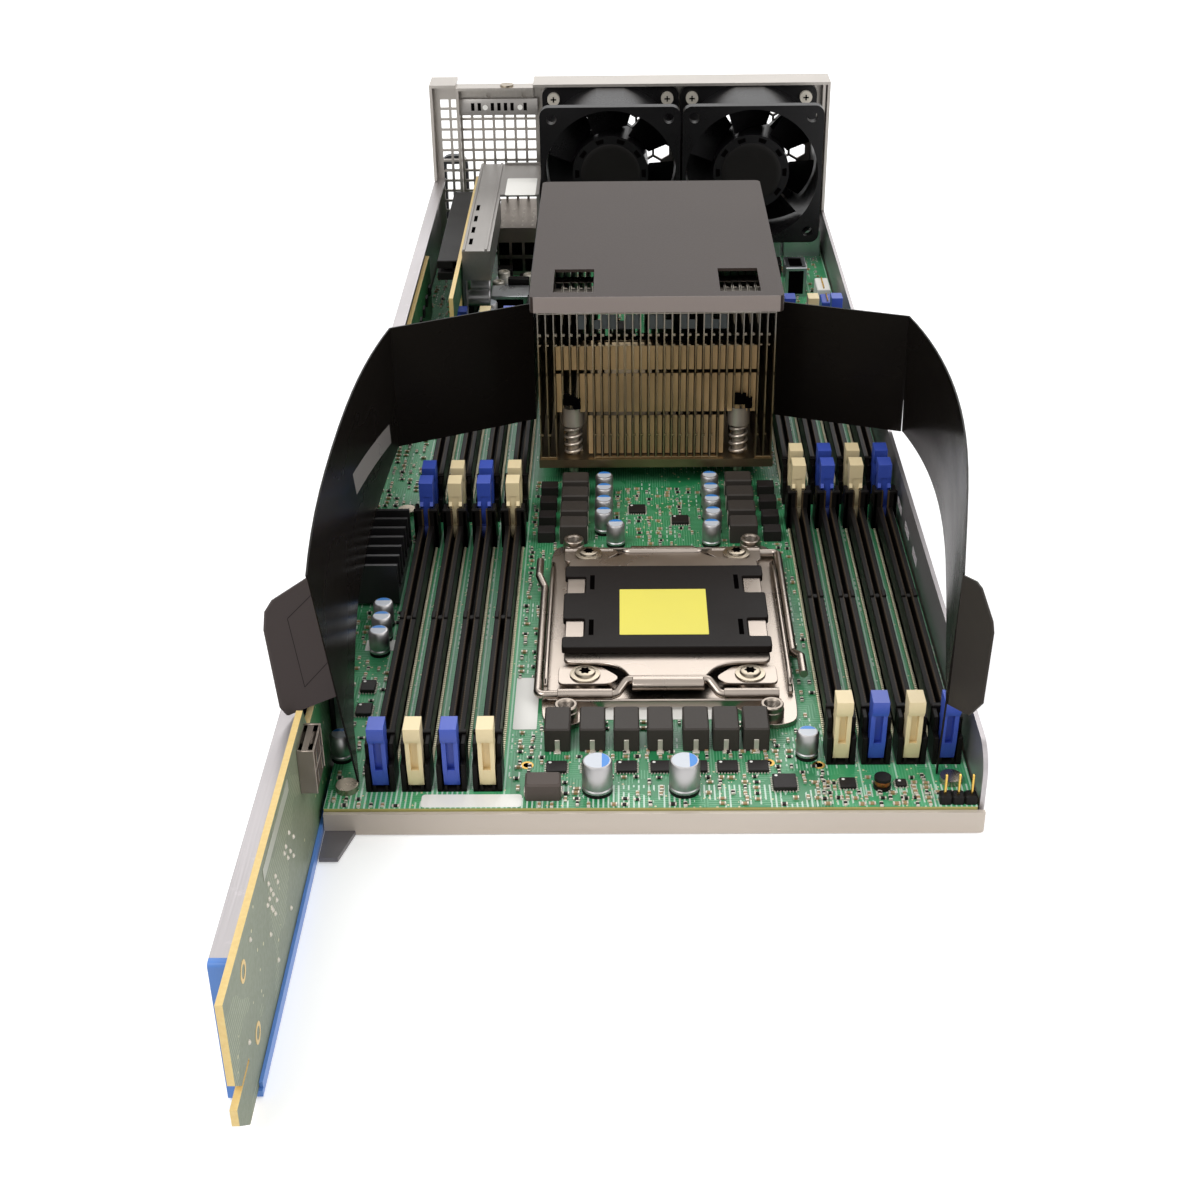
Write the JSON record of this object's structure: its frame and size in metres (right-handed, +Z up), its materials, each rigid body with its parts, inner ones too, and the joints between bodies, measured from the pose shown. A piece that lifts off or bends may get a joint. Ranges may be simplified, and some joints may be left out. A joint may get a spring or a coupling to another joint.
{
  "type": "multi node server sled",
  "caption": "Half-width server sled: folded steel tray with a main board, memory sockets, processor sockets, finned heatsink under a hood, film air flaps, riser and rear fans",
  "frame": {"origin": "centre of the tray's underside", "axes": "+X to the right seen from the open front edge, +Y along the tray towards the fans, +Z up"},
  "size_m": [0.1857, 0.5475, 0.081],
  "materials": {
    "zinc_steel": "zinc plated sheet",
    "bright_steel": "bright nickel plated steel",
    "screw_steel": "plated steel",
    "standoff_brass": "turned brass",
    "blue_plastic": "satin moulded plastic",
    "card_laminate": "glass fibre laminate, green faces and cream edges",
    "board_laminate": "green solder mask",
    "socket_plastic": "black moulded plastic",
    "chip_plastic": "moulded packages",
    "cap_plastic": "black moulded plastic",
    "latch_blue": "satin moulded plastic",
    "latch_cream": "satin moulded plastic",
    "lid_metal": "nickel plated lid",
    "fin_metal": "nickel plated fins",
    "hood_plastic": "grey brown satin",
    "flap_film": "glossy black film",
    "fan_plastic": "black moulded plastic",
    "dark_metal": "black anodised",
    "can_metal": "aluminium can",
    "port_metal": "plated shells",
    "lever_plastic": "dark plastic"
  },
  "bodies": {
    "sled": {"base_tray": "zinc_steel", "left_rail": "zinc_steel", "card_guide": "blue_plastic", "adapter_card": "card_laminate", "rear_panel": "zinc_steel", "card_clamp": "zinc_steel", "motherboard": "board_laminate", "standoffs": "standoff_brass", "board_screws": "screw_steel", "memory_sockets_front": "socket_plastic", "memory_sockets_rear": "socket_plastic", "cpu_sockets": "socket_plastic", "front_retention_frame": "bright_steel", "heatsink_studs": "screw_steel", "frame_screws": "screw_steel", "load_plate": "bright_steel", "socket_cap": "cap_plastic", "rear_cpu_package": "lid_metal", "heatsink_base": "fin_metal", "heatsink_fins": "fin_metal", "heatsink_screws": "screw_steel", "heatsink_springs": "screw_steel", "heatsink_hood": "hood_plastic", "left_air_flap": "flap_film", "right_air_flap": "flap_film", "left_fan_frame": "fan_plastic", "right_fan_frame": "fan_plastic", "fan_screws": "screw_steel", "riser_card": "card_laminate", "card_connectors": "socket_plastic", "riser_bracket": "zinc_steel", "chipset_heatsink": "dark_metal", "capacitors": "can_metal", "board_chips": "chip_plastic", "rear_ports": "port_metal"},
    "latch_front_left_1_front": {"latch_front_left_1_front": "latch_blue"},
    "latch_front_left_1_rear": {"latch_front_left_1_rear": "latch_blue"},
    "latch_front_left_2_front": {"latch_front_left_2_front": "latch_cream"},
    "latch_front_left_2_rear": {"latch_front_left_2_rear": "latch_cream"},
    "latch_front_left_3_front": {"latch_front_left_3_front": "latch_blue"},
    "latch_front_left_3_rear": {"latch_front_left_3_rear": "latch_blue"},
    "latch_front_left_4_front": {"latch_front_left_4_front": "latch_cream"},
    "latch_front_left_4_rear": {"latch_front_left_4_rear": "latch_cream"},
    "latch_front_right_1_front": {"latch_front_right_1_front": "latch_cream"},
    "latch_front_right_1_rear": {"latch_front_right_1_rear": "latch_cream"},
    "latch_front_right_2_front": {"latch_front_right_2_front": "latch_blue"},
    "latch_front_right_2_rear": {"latch_front_right_2_rear": "latch_blue"},
    "latch_front_right_3_front": {"latch_front_right_3_front": "latch_cream"},
    "latch_front_right_3_rear": {"latch_front_right_3_rear": "latch_cream"},
    "latch_front_right_4_front": {"latch_front_right_4_front": "latch_blue"},
    "latch_front_right_4_rear": {"latch_front_right_4_rear": "latch_blue"},
    "latches_rear_left_front": {"latches_rear_left_front": "latch_blue"},
    "latches_rear_left_rear": {"latches_rear_left_rear": "latch_blue"},
    "latches_rear_right_front": {"latches_rear_right_front": "latch_blue"},
    "latches_rear_right_rear": {"latches_rear_right_rear": "latch_blue"},
    "load_lever_left": {"load_lever_left": "bright_steel"},
    "load_lever_right": {"load_lever_right": "bright_steel"},
    "left_fan_rotor": {"left_fan_rotor": "fan_plastic"},
    "right_fan_rotor": {"right_fan_rotor": "fan_plastic"},
    "release_lever": {"release_lever": "lever_plastic"}
  },
  "joints": [
    {"name": "latch_front_left_1_front_hinge", "type": "hinge", "parent": "sled", "child": "latch_front_left_1_front", "pos_m": [-0.06639, -0.2047, 0.0106], "axis": [1, 0, 0], "range_deg": [0, 30]},
    {"name": "latch_front_left_1_rear_hinge", "type": "hinge", "parent": "sled", "child": "latch_front_left_1_rear", "pos_m": [-0.06639, -0.0717, 0.0106], "axis": [-1, 0, 0], "range_deg": [0, 7.5]},
    {"name": "latch_front_left_2_front_hinge", "type": "hinge", "parent": "sled", "child": "latch_front_left_2_front", "pos_m": [-0.05717, -0.2047, 0.0106], "axis": [1, 0, 0], "range_deg": [0, 30]},
    {"name": "latch_front_left_2_rear_hinge", "type": "hinge", "parent": "sled", "child": "latch_front_left_2_rear", "pos_m": [-0.05717, -0.0717, 0.0106], "axis": [-1, 0, 0], "range_deg": [0, 7.5]},
    {"name": "latch_front_left_3_front_hinge", "type": "hinge", "parent": "sled", "child": "latch_front_left_3_front", "pos_m": [-0.04793, -0.2047, 0.0106], "axis": [1, 0, 0], "range_deg": [0, 30]},
    {"name": "latch_front_left_3_rear_hinge", "type": "hinge", "parent": "sled", "child": "latch_front_left_3_rear", "pos_m": [-0.04793, -0.0717, 0.0106], "axis": [-1, 0, 0], "range_deg": [0, 7.5]},
    {"name": "latch_front_left_4_front_hinge", "type": "hinge", "parent": "sled", "child": "latch_front_left_4_front", "pos_m": [-0.03871, -0.2047, 0.0106], "axis": [1, 0, 0], "range_deg": [0, 30]},
    {"name": "latch_front_left_4_rear_hinge", "type": "hinge", "parent": "sled", "child": "latch_front_left_4_rear", "pos_m": [-0.03871, -0.0717, 0.0106], "axis": [-1, 0, 0], "range_deg": [0, 7.5]},
    {"name": "latch_front_right_1_front_hinge", "type": "hinge", "parent": "sled", "child": "latch_front_right_1_front", "pos_m": [0.0533, -0.1935, 0.0106], "axis": [1, 0, 0], "range_deg": [0, 30]},
    {"name": "latch_front_right_1_rear_hinge", "type": "hinge", "parent": "sled", "child": "latch_front_right_1_rear", "pos_m": [0.0533, -0.0605, 0.0106], "axis": [-1, 0, 0], "range_deg": [0, 7.5]},
    {"name": "latch_front_right_2_front_hinge", "type": "hinge", "parent": "sled", "child": "latch_front_right_2_front", "pos_m": [0.06253, -0.1935, 0.0106], "axis": [1, 0, 0], "range_deg": [0, 30]},
    {"name": "latch_front_right_2_rear_hinge", "type": "hinge", "parent": "sled", "child": "latch_front_right_2_rear", "pos_m": [0.06253, -0.0605, 0.0106], "axis": [-1, 0, 0], "range_deg": [0, 7.5]},
    {"name": "latch_front_right_3_front_hinge", "type": "hinge", "parent": "sled", "child": "latch_front_right_3_front", "pos_m": [0.07176, -0.1935, 0.0106], "axis": [1, 0, 0], "range_deg": [0, 30]},
    {"name": "latch_front_right_3_rear_hinge", "type": "hinge", "parent": "sled", "child": "latch_front_right_3_rear", "pos_m": [0.07176, -0.0605, 0.0106], "axis": [-1, 0, 0], "range_deg": [0, 7.5]},
    {"name": "latch_front_right_4_front_hinge", "type": "hinge", "parent": "sled", "child": "latch_front_right_4_front", "pos_m": [0.08099, -0.1935, 0.0106], "axis": [1, 0, 0], "range_deg": [0, 30]},
    {"name": "latch_front_right_4_rear_hinge", "type": "hinge", "parent": "sled", "child": "latch_front_right_4_rear", "pos_m": [0.08099, -0.0605, 0.0106], "axis": [-1, 0, 0], "range_deg": [0, 7.5]},
    {"name": "latches_rear_left_front_hinge", "type": "hinge", "parent": "sled", "child": "latches_rear_left_front", "pos_m": [-0.05255, -0.0564, 0.0106], "axis": [1, 0, 0], "range_deg": [0, 7.5]},
    {"name": "latches_rear_left_rear_hinge", "type": "hinge", "parent": "sled", "child": "latches_rear_left_rear", "pos_m": [-0.05255, 0.0766, 0.0106], "axis": [-1, 0, 0], "range_deg": [0, 30]},
    {"name": "latches_rear_right_front_hinge", "type": "hinge", "parent": "sled", "child": "latches_rear_right_front", "pos_m": [0.06715, -0.0452, 0.0106], "axis": [1, 0, 0], "range_deg": [0, 7.5]},
    {"name": "latches_rear_right_rear_hinge", "type": "hinge", "parent": "sled", "child": "latches_rear_right_rear", "pos_m": [0.06715, 0.0878, 0.0106], "axis": [-1, 0, 0], "range_deg": [0, 30]},
    {"name": "load_lever_left_hinge", "type": "hinge", "parent": "sled", "child": "load_lever_left", "pos_m": [0.0087, -0.1675, 0.0103], "axis": [1, 0, 0], "range_deg": [0, 110]},
    {"name": "load_lever_right_hinge", "type": "hinge", "parent": "sled", "child": "load_lever_right", "pos_m": [0.0087, -0.087, 0.0103], "axis": [-1, 0, 0], "range_deg": [0, 110]},
    {"name": "left_fan_spin", "type": "hinge", "parent": "sled", "child": "left_fan_rotor", "pos_m": [-0.0085, 0.1923, 0.0495], "axis": [0, 1, 0], "continuous": true},
    {"name": "right_fan_spin", "type": "hinge", "parent": "sled", "child": "right_fan_rotor", "pos_m": [0.0524, 0.1923, 0.0495], "axis": [0, 1, 0], "continuous": true},
    {"name": "release_lever_hinge", "type": "hinge", "parent": "sled", "child": "release_lever", "pos_m": [-0.0796, 0.2207, 0.009], "axis": [-1, 0, 0], "range_deg": [0, 75]}
  ]
}
